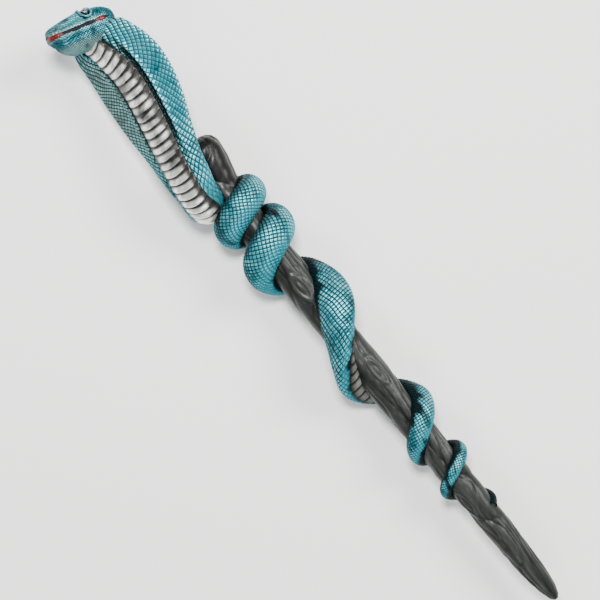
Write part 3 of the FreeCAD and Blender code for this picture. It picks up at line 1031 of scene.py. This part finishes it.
@dataclass
class Head:
    """The head's own frame and outline, with F forwards, L to the snake's left and U up."""

    origin: tuple[float, float, float] = (-71.8, 3.4, 5.4)
    dip: float = math.radians(15.4)
    lift: float = math.radians(27.0)
    gap: float = 0.55
    corner: float = -0.6
    short: float = 0.965
    bow_power: float = 0.8
    tuck: float = 0.8
    eye: tuple[float, float, float] = (7.3, 7.9, 5.9)
    eye_radius: float = 2.2
    eye_inset: float = 0.55
    bead_share: float = 0.86
    nostril: tuple[float, float, float] = (24.6, 4.9, 3.4)
    crown_scale: float = 1.15
    jaw_scale: float = 1.35
    corner_red: float = 2.6

    def axes(self) -> np.ndarray:
        """Forwards, left and up as rows: a level direction lifted towards Z, and the two square to it."""
        flat = np.array([-math.sin(self.dip), -math.cos(self.dip), 0.0])
        rise = np.array([0.0, 0.0, 1.0])
        forward = flat * math.cos(self.lift) + rise * math.sin(self.lift)
        left = rise * math.cos(self.lift) - flat * math.sin(self.lift)
        return np.array([forward, left, np.cross(forward, left)])

    def put(self, local: np.ndarray) -> np.ndarray:
        """Moves points from F, L and U to the working frame, a little shortened along F."""
        return (local * [self.short, 1.0, 1.0]) @ self.axes() + np.array(self.origin)

    def tucked(self, forward: np.ndarray) -> np.ndarray:
        """F with what lies behind 0 shortened by tuck, so that the back of the head meets the neck."""
        return np.where(forward < 0, self.tuck * forward, forward)

    def open_gap(self, forward: np.ndarray) -> np.ndarray:
        """Half the height of the gap between the lips, which closes at the corners of the mouth."""
        return self.gap * ease(forward, self.corner - 2.0, self.corner + 0.5)

    def half(self, side: Side, rings: int, columns: int) -> tuple[np.ndarray, np.ndarray]:
        """The outline of the cranium or jaw, in F, L and U.

        Columns run over an arch from the left lip to the right one, and back along the plane of the mouth. Across
        is the half width times the cosine, and up is the height times the sine, both to bow_power.

        Args:
            side: Which half.
            rings: How many rings from back to front.
            columns: How many points in a ring.

        Returns:
            The points, and the angle over the arch of each column.
        """
        rows = np.array(HEAD_ROWS)
        place = np.linspace(0, 1, rings) ** 0.9 * (len(rows) - 1)
        forward, width, crown, jaw = np.moveaxis(smooth_rows(rows, place)[:, None], -1, 0)
        forward = self.tucked(forward)
        height = crown if side is Side.CRANIUM else jaw
        gap = self.open_gap(forward)
        over = int(columns * 0.86)
        angle = np.append(np.linspace(0, math.pi, over), np.linspace(math.pi, 2 * math.pi, columns - over + 2)[1:-1])
        top = (angle <= math.pi)[None, :]
        bow = np.abs(np.sin(angle))[None, :] ** self.bow_power * top
        reach = np.sign(np.cos(angle)) * np.abs(np.cos(angle)) ** np.where(angle <= math.pi, self.bow_power, 1.0)
        up = side.value * (gap + bow * np.maximum(height - gap, 0.3))
        return np.stack([forward + 0 * up, width * reach[None, :], up], -1), angle

    def build_half(self, side: Side, finish: bpy.types.Material) -> bpy.types.Object:
        """Makes the cranium or the jaw and dresses it.

        The outline is pushed along its normals by a net of small scales, and by bells and rings for what stands out
        of it: the ridge round the eye, the brow line from it to the nostril, the cheek, and a row of lip scales.

        Args:
            side: Which half.
            finish: Its material.

        Returns:
            The piece.
        """
        local, angle = self.half(side, 330, 280)
        forward, left, up = np.moveaxis(local, -1, 0)
        over = (angle <= math.pi)[None, :] * np.ones_like(forward)
        skinward = normals(local)
        skinward = skinward * np.sign((skinward * (local - local.mean(axis=1, keepdims=True))).sum())
        rim = np.abs(up) - self.open_gap(forward)
        open_lips = ease(forward, self.corner - 1.5, self.corner + 2.0)

        along = run_length(local, 0)
        arc = run_length(np.concatenate([local, local[:, :1]], axis=1), 1)
        arc -= arc[:, int(len(angle) * 0.43)][:, None]
        size = self.crown_scale if side is Side.CRANIUM else self.jaw_scale
        count = -along[:, :1]
        p, q = (count + arc) / size, (count - arc) / size
        front = ease(forward, 8.0, 18.0)
        grain = diamonds(p, q)[:, :-1] * (0.20 - 0.08 * front)

        toward = np.hypot(forward - self.eye[0], up - self.eye[2])
        beside = ease(np.abs(left), 1.5, 4.5)
        eye_dip = 1 - ease(toward, self.eye_radius * 0.75, self.eye_radius * 1.15)
        ring = hump(toward, self.eye_radius * 1.20, 0.80)
        lift = np.zeros_like(forward)
        if side is Side.CRANIUM:
            lift += beside * (1.0 * ring - 1.6 * eye_dip)
            line = up - (self.eye[2] + 1.3 - 0.16 * (forward - self.eye[0]))
            lift += beside * 0.45 * hump(line, 0.0, 0.9) * ease(forward, 6.0, 11.0) * (1 - ease(forward, 20.0, 25.0))
            lift -= beside * 0.55 * hump(line, -1.9, 1.1) * ease(forward, 9.0, 13.0) * (1 - ease(forward, 19.0, 24.0))
            pit = np.hypot(forward - self.nostril[0], up - self.nostril[2])
            lift += (np.abs(left) > 1.5) * (0.30 * hump(pit, 1.1, 0.5) - 0.8 * hump(pit, 0.0, 0.6))
            lift += 0.35 * hump(forward, -2.0, 4.0) * hump(up, 3.0, 2.5)
        else:
            lift += 0.55 * hump(forward, -1.0, 5.0) * hump(up, -4.0, 3.0)
            lift -= 0.30 * hump(up + 3.2 + 0.05 * forward, 0.0, 0.6) * ease(forward, -4.0, 0.0)
        labial = hump(rim, 0.75, 0.75) * over
        tooth = 0.5 + 0.5 * np.sin(along * 2 * math.pi / 1.9 + rim * 2.0)
        lift += labial * (0.18 + 0.22 * tooth) * open_lips
        grain *= 1 - 0.75 * labial - 0.9 * np.clip(ring + eye_dip, 0, 1) * beside * (side is Side.CRANIUM)
        local = local + skinward * ((lift + grain) * over * ease(forward, -8.4, -5.5))[..., None]

        corners = hump(forward, self.corner + self.corner_red, self.corner_red) + 0.9 * ease(forward, 21.0, 25.5)
        red = hump(rim, 0.0, 0.58) * corners * over
        pale = 0.75 * labial * (0.3 + 0.7 * tooth) * (1 - np.clip(red * 1.5, 0, 1)) * open_lips
        pale += beside * 0.6 * hump(toward, self.eye_radius * 1.18, 0.35) * (side is Side.CRANIUM)
        pale += 0.30 * ease(-up, 5.5, 9.0) * (side is Side.JAW) * over
        # Darker in the eye socket, round the eye's ring and along the mouth line: painted shade; mottled tone over
        # all.
        ringed = eye_dip * 0.9 + 0.55 * hump(toward, self.eye_radius * 1.62, 0.3)
        shade = beside * np.clip(ringed, 0, 1) * (side is Side.CRANIUM)
        shade = shade + 0.6 * hump(rim, 0.0, 0.4) * (1 - np.clip(red * 2, 0, 1)) * open_lips
        grey = ease(-up, 4.6, 8.2) if side is Side.JAW else ease(forward, 15.0, 24.0) * 0.5 + ease(up, 5.5, 7.5) * 0.35
        mottle = ripple(forward / 1.7, up / 1.5 + left / 4.0, 41, 12, 0.6, 1.8)
        shade = shade + np.clip(0.08 + 0.30 * mottle, 0, 1) * over
        # Darker on top of the snout.
        if side is Side.CRANIUM:
            shade = shade + 0.35 * ease(up, 3.6, 5.2) * ease(forward, 10.0, 15.0) * (0.7 + 0.4 * mottle)
        masks = {"red": red, "pale": pale, "wash": shade, "grey": grey, "rubbed": 0 * red, "belly": 0 * red}
        piece = Skin(
            self.put(local),
            uvs={UV_SCALES: np.stack([p, q], -1), UV_SCUTES: np.zeros((*p.shape, 2))},
            masks={name: np.clip(grid, 0, 1) for name, grid in masks.items()},
        ).build("head_crown" if side is Side.CRANIUM else "head_jaw")
        piece.data.materials.append(finish)
        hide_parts("cranium" if side is Side.CRANIUM else "lower_jaw")
        return piece

    def build_mouth(self, finish: bpy.types.Material) -> bpy.types.Object:
        """Makes the red lining, whose rolled edge shows between the lips.

        Columns go round the outline of the mouth and rings go from the middle of its roof, out to the edge, round a
        roll whose half height swells at the corners and the front, and back along its floor.

        Args:
            finish: Its material.

        Returns:
            The lining.
        """
        rows = np.array(HEAD_ROWS)
        turn = np.linspace(0, 2 * math.pi, 240, endpoint=False)
        reach = 0.5 - 0.5 * np.cos(turn)
        forward, width, _, _ = np.moveaxis(at_station(rows, rows[0, 0] + reach * (rows[-1, 0] - rows[0, 0])), -1, 0)
        side = np.where(turn <= math.pi, 1.0, -1.0)
        swell = hump(forward, self.corner + self.corner_red, self.corner_red) + ease(forward, 20.5, 25.0)
        inside = 1 - ease(forward, self.corner - 1.5, self.corner + 1.0)
        ragged = ripple(forward * 4.0, side * 3.0, 5, 7, 0.7, 1.6)
        half = 0.52 + 0.52 * swell + 0.16 * swell * ragged
        out = -0.15 + 0.52 * swell + 0.10 * swell * ragged - 2.2 * inside
        inner = np.linspace(0.15, 0.93, 8)
        roll = np.linspace(math.pi / 2, -math.pi / 2, 15)
        share = np.concatenate([inner, np.ones(len(roll)), inner[::-1]])[:, None]
        bulge = np.concatenate([np.zeros(8), np.cos(roll), np.zeros(8)])[:, None]
        up = np.concatenate([np.ones(8), np.sin(roll), -np.ones(8)])[:, None] * half
        up = np.where(share < 1, np.clip(up, -self.gap, self.gap), up)
        middle = (rows[0, 0] + rows[-1, 0]) / 2
        end = np.sign(forward - middle) * ease(np.abs(forward - middle), 15.0, 19.0)
        points = np.stack(
            [
                middle + (forward - middle) * share + end * bulge * out,
                side * width * share + side * bulge * out * (1 - np.abs(end)),
                up,
            ],
            -1,
        )
        points[..., 0] = self.tucked(points[..., 0])
        # Maroon along the narrow middle of the mouth line: painted shade in the gap between the lips.
        wash = (1 - np.clip(swell * 1.5, 0, 1))[None, :] * np.ones_like(up)
        piece = Skin(self.put(points), masks={"wash": wash}).build("mouth_lips")
        piece.data.materials.append(finish)
        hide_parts("mouth_lining")
        return piece

    def build_eye(self, name: str, side: int, finish: bpy.types.Material) -> bpy.types.Object:
        """Makes an eye: a ball whose poles are at the front and back, with a glint of each colour on it.

        Args:
            name: The CAD node that it stands for.
            side: 1 on the left, -1 on the right.
            finish: Its material.

        Returns:
            The bead.
        """
        lat = np.linspace(-math.pi / 2, math.pi / 2, 42)[1:-1, None]
        lon = np.linspace(0, 2 * math.pi, 72, endpoint=False)[None, :]
        ball = np.stack([np.cos(lat) * np.cos(lon), np.cos(lat) * np.sin(lon), np.sin(lat) + 0 * lon], -1)
        centre = np.array(self.eye) * [1, side, 1] - [0.0, side * self.eye_inset, 0.0]
        points = self.put(centre + ball * self.eye_radius * self.bead_share)
        red = unit(np.array([0.15, side * 0.85, 0.45]))
        teal = unit(np.array([-0.45, side * 0.8, -0.25]))
        masks = {"glint_red": ease(ball @ red, 0.86, 0.96), "glint_teal": ease(ball @ teal, 0.84, 0.95)}
        piece = Skin(points, masks=masks).build(name + "_bead")
        piece.data.materials.append(finish)
        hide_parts(name)
        return piece


# ---- the stick ---------------------------------------------------------------------------------------------


@dataclass
class Stick:
    """The black stick: bark that flows round it in twisted, knotted ridges."""

    rings: int = 560
    columns: int = 176
    deep: float = 1.5
    bark_radius: float = 8.2
    shares: tuple[float, ...] = (0.0, 0.05, 0.96, 1.0)
    butt_end: float = 8.0
    tip_start: float = 276.0
    knots: tuple[tuple[float, float, float], ...] = (
        (89.0, 1.66, 7.0),
        (127.0, 5.2, 6.0),
        (144.7, 1.20, 7.5),
        (186.0, 3.9, 6.5),
        (221.0, 2.35, 5.5),
        (240.4, 2.05, 6.5),
    )

    def ridges(self, x: np.ndarray, angle: np.ndarray) -> np.ndarray:
        """Height of the bark, 0 in the grooves and 1 on the ridges.

        Two sets of ridges, each one less the size of a sine of the angle round the stick, twist opposite ways along
        it. Their phases wander with a ripple that is the same at 0 and 360 degrees. A knot, given by its place, the
        angle that it faces and its half length, is a raised oval ring with a trough inside it and an eye in that.
        """
        around, beside = np.cos(angle), np.sin(angle)
        wander = ripple(x / 11.0 + 1.4 * around, 1.6 * beside + x / 60.0, 3, 9, 0.5, 1.7)
        drift = ripple(x / 5.5 - 1.2 * beside, 1.5 * around, 8, 9, 0.6, 1.8)
        broad = 1 - np.abs(np.sin(1.5 * angle + 0.040 * x + 0.9 * wander)) ** 0.8
        lean = 1 - np.abs(np.sin(3.0 * angle - 0.075 * x + 1.3 * drift + 0.8 * wander)) ** 0.9
        fine = 0.5 + 0.5 * ripple(x / 1.6 + 1.1 * around * 3, 3.0 * beside, 12, 10, 0.5, 1.8)
        bark = 1 - 0.62 * broad**1.3 - 0.42 * lean**1.4 + 0.16 * (fine - 0.5)
        for middle, facing, half in self.knots:
            away = (angle - facing + math.pi) % (2 * math.pi) - math.pi
            along = (x - middle) / half + 0.6 * away
            apart = np.hypot(along, away * self.bark_radius / (0.36 * half)) + 0.24 * (wander + drift)
            knot = 0.42 + 0.50 * hump(apart, 1.0, 0.30) + 0.34 * hump(apart, 0.0, 0.45)
            bark = bark + 0.9 * (knot - bark) * (1 - ease(apart, 1.0, 1.6))
        return np.clip(bark, 0, 1)

    def build(self, finish: bpy.types.Material) -> bpy.types.Object:
        """Makes the stick and dresses it: each ring's radius is the table's, less the depth of the grooves.

        Args:
            finish: Its material.

        Returns:
            The stick.
        """
        rows = np.array(STICK_ROWS)
        place = np.linspace(0, 1, self.rings)
        x = np.interp(place, self.shares, [rows[0, 0], self.butt_end, self.tip_start, rows[-1, 0]])
        offset, radius = at_station(rows, x)[:, 1], at_station(rows, x)[:, 2]
        angle = np.linspace(0, 2 * math.pi, self.columns, endpoint=False)[None, :]
        ridge = self.ridges(x[:, None], angle)
        calm = 0.45 + 0.55 * (1 - ease(x, 205.0, 262.0))
        depth = np.minimum(self.deep * calm, radius * 0.16)[:, None]
        size = radius[:, None] - depth * (1 - ridge)
        points = np.stack(
            [x[:, None] + 0 * size, offset[:, None] + size * np.cos(angle), size * np.sin(angle)], -1
        )
        toned = ridge * (0.12 + 0.88 * ease(x, 22.0, 38.0))[:, None]
        piece = Skin(points, masks={"ridge": toned}).build("bark")
        piece.data.materials.append(finish)
        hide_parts("stick")
        return piece


# ---- the table, lights and camera --------------------------------------------------------------------------


@dataclass
class Studio:
    """What the wand lies on, and how it is lit and seen."""

    middle: tuple[float, float, float] = (93.6, -4.8, 18.0)
    turned: float = math.radians(50.8)
    distance: float = 1.2
    seen: float = 0.2864
    sensor: float = 36.0
    sky: Colour = (0.95, 0.97, 1.0)
    glow: float = 0.20
    lights: tuple[tuple[str, Colour, float, float, Colour], ...] = (
        ("key", (-0.35, 0.10, 1.35), 28.0, 0.30, (1.0, 0.995, 0.98)),
        ("top", (0.05, 1.0, 1.0), 24.0, 0.6, (1.0, 0.995, 0.98)),
        ("fill", (0.75, -0.75, 1.1), 10.0, 0.8, (0.97, 0.99, 1.0)),
        ("side", (-1.1, -0.3, 0.8), 7.0, 0.5, (1.0, 1.0, 1.0)),
    )

    def build_table(self) -> None:
        """A round board whose top is at Z = 0, well past the edge of the view."""
        ring = np.linspace(0, 2 * math.pi, 96, endpoint=False)
        radius = np.array([0.02, 1.0, 3.0, 3.0])[:, None]
        points = np.stack([radius * np.cos(ring), radius * np.sin(ring), 0 * radius * ring], -1)
        points[-1, :, 2] = -0.05
        n, m = points.shape[:2]
        i, j = np.meshgrid(np.arange(n - 1), np.arange(m), indexing="ij")
        ahead = (j + 1) % m
        quads = np.stack([i * m + j, (i + 1) * m + j, (i + 1) * m + ahead, i * m + ahead], -1).reshape(-1, 4)
        mesh = bpy.data.meshes.new("board")
        mesh.from_pydata(points.reshape(-1, 3).tolist(), [], [*quads.tolist(), list(range(m))])
        board = bpy.data.objects.new("board", mesh)
        bpy.context.scene.collection.objects.link(board)
        board.data.materials.append(TablePaint().make("white_board"))

    def build_light(self, name: str, place: Colour, power: float, size: float, colour: Colour) -> None:
        """Adds a square area light aimed at the wand's middle.

        Args:
            name: Its name.
            place: Where it is, in metres in the row frame.
            power: Watts.
            size: Its side, in metres.
            colour: Its colour.
        """
        data = bpy.data.lights.new(name, "AREA")
        data.energy, data.size, data.color = power, size, colour
        light = bpy.data.objects.new(name, data)
        light.location = place
        light.rotation_euler = Vector(place).to_track_quat("Z", "Y").to_euler()
        bpy.context.scene.collection.objects.link(light)

    def build_camera(self) -> None:
        """Points the camera square down at the working plane, turned about its own axis."""
        right = np.array([math.cos(self.turned), math.sin(self.turned), 0.0])
        up = np.array([-math.sin(self.turned), math.cos(self.turned), 0.0])
        axes = REST.turn() @ np.array([right, up, [0.0, 0.0, 1.0]]).T
        data = bpy.data.cameras.new("camera")
        data.sensor_width = self.sensor
        data.lens = self.sensor * self.distance / self.seen
        data.clip_end = 20.0
        camera = bpy.data.objects.new("camera", data)
        pose = np.eye(4)
        pose[:3, :3] = axes
        pose[:3, 3] = REST.lay(np.array(self.middle)) + axes[:, 2] * self.distance
        camera.matrix_world = Matrix(pose.tolist())
        bpy.context.scene.collection.objects.link(camera)
        bpy.context.scene.camera = camera

    def build(self) -> None:
        """Sets up the table, the four soft lights, the room's glow and the camera."""
        self.build_table()
        for light in self.lights:
            self.build_light(*light)
        world = bpy.data.worlds.new("room")
        world.use_nodes = True
        world.node_tree.nodes["Background"].inputs["Color"].default_value = (*self.sky, 1.0)
        world.node_tree.nodes["Background"].inputs["Strength"].default_value = self.glow
        bpy.context.scene.world = world
        self.build_camera()


# ---- everything --------------------------------------------------------------------------------------------


def main() -> None:
    """Builds every piece in order, then the studio."""
    logging.basicConfig(level=logging.INFO, format="%(name)s %(message)s")
    spine = Spine()
    head = Head()
    scales = ScalePaint().make("teal_scales")
    head_scales = ScalePaint(net=0.6, brush=0.45).make("head_scales")
    eye_paint = EyePaint().make("eye_gloss")
    rod_paint = RodPaint().make("drawn_steel")

    Stick().build(StickPaint().make("black_bark"))
    for node in ("core_rod", "head_pin"):
        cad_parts[node].data.materials.clear()
        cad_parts[node].data.materials.append(rod_paint)

    places = [spine.coil_place(turns) for turns in spine.seams]
    BodyLength("hood_and_neck", "hood", 0.05, places[0], 330, 290, strip_end=14.3).build(spine, scales)
    for number, (first, last) in enumerate(zip(places, places[1:]), start=1):
        final = number == 6
        name, node = ("tail_tip", "tail") if final else (f"coil_{number}_scales", f"coil_{number}")
        reach = spine.coil_place(spine.tail_end) if final else last
        BodyLength(name, node, first, reach, 90 if final else 330 - 25 * number, 132).build(spine, scales)
    BellyStrip().build(spine, BellyPaint().make("silver_belly"))

    for side in Side:
        head.build_half(side, head_scales)
    head.build_mouth(LipPaint().make("mouth_red"))
    head.build_eye("eye_left", 1, eye_paint)
    head.build_eye("eye_right", -1, eye_paint)

    Studio().build()


if __name__ == "__main__":
    main()
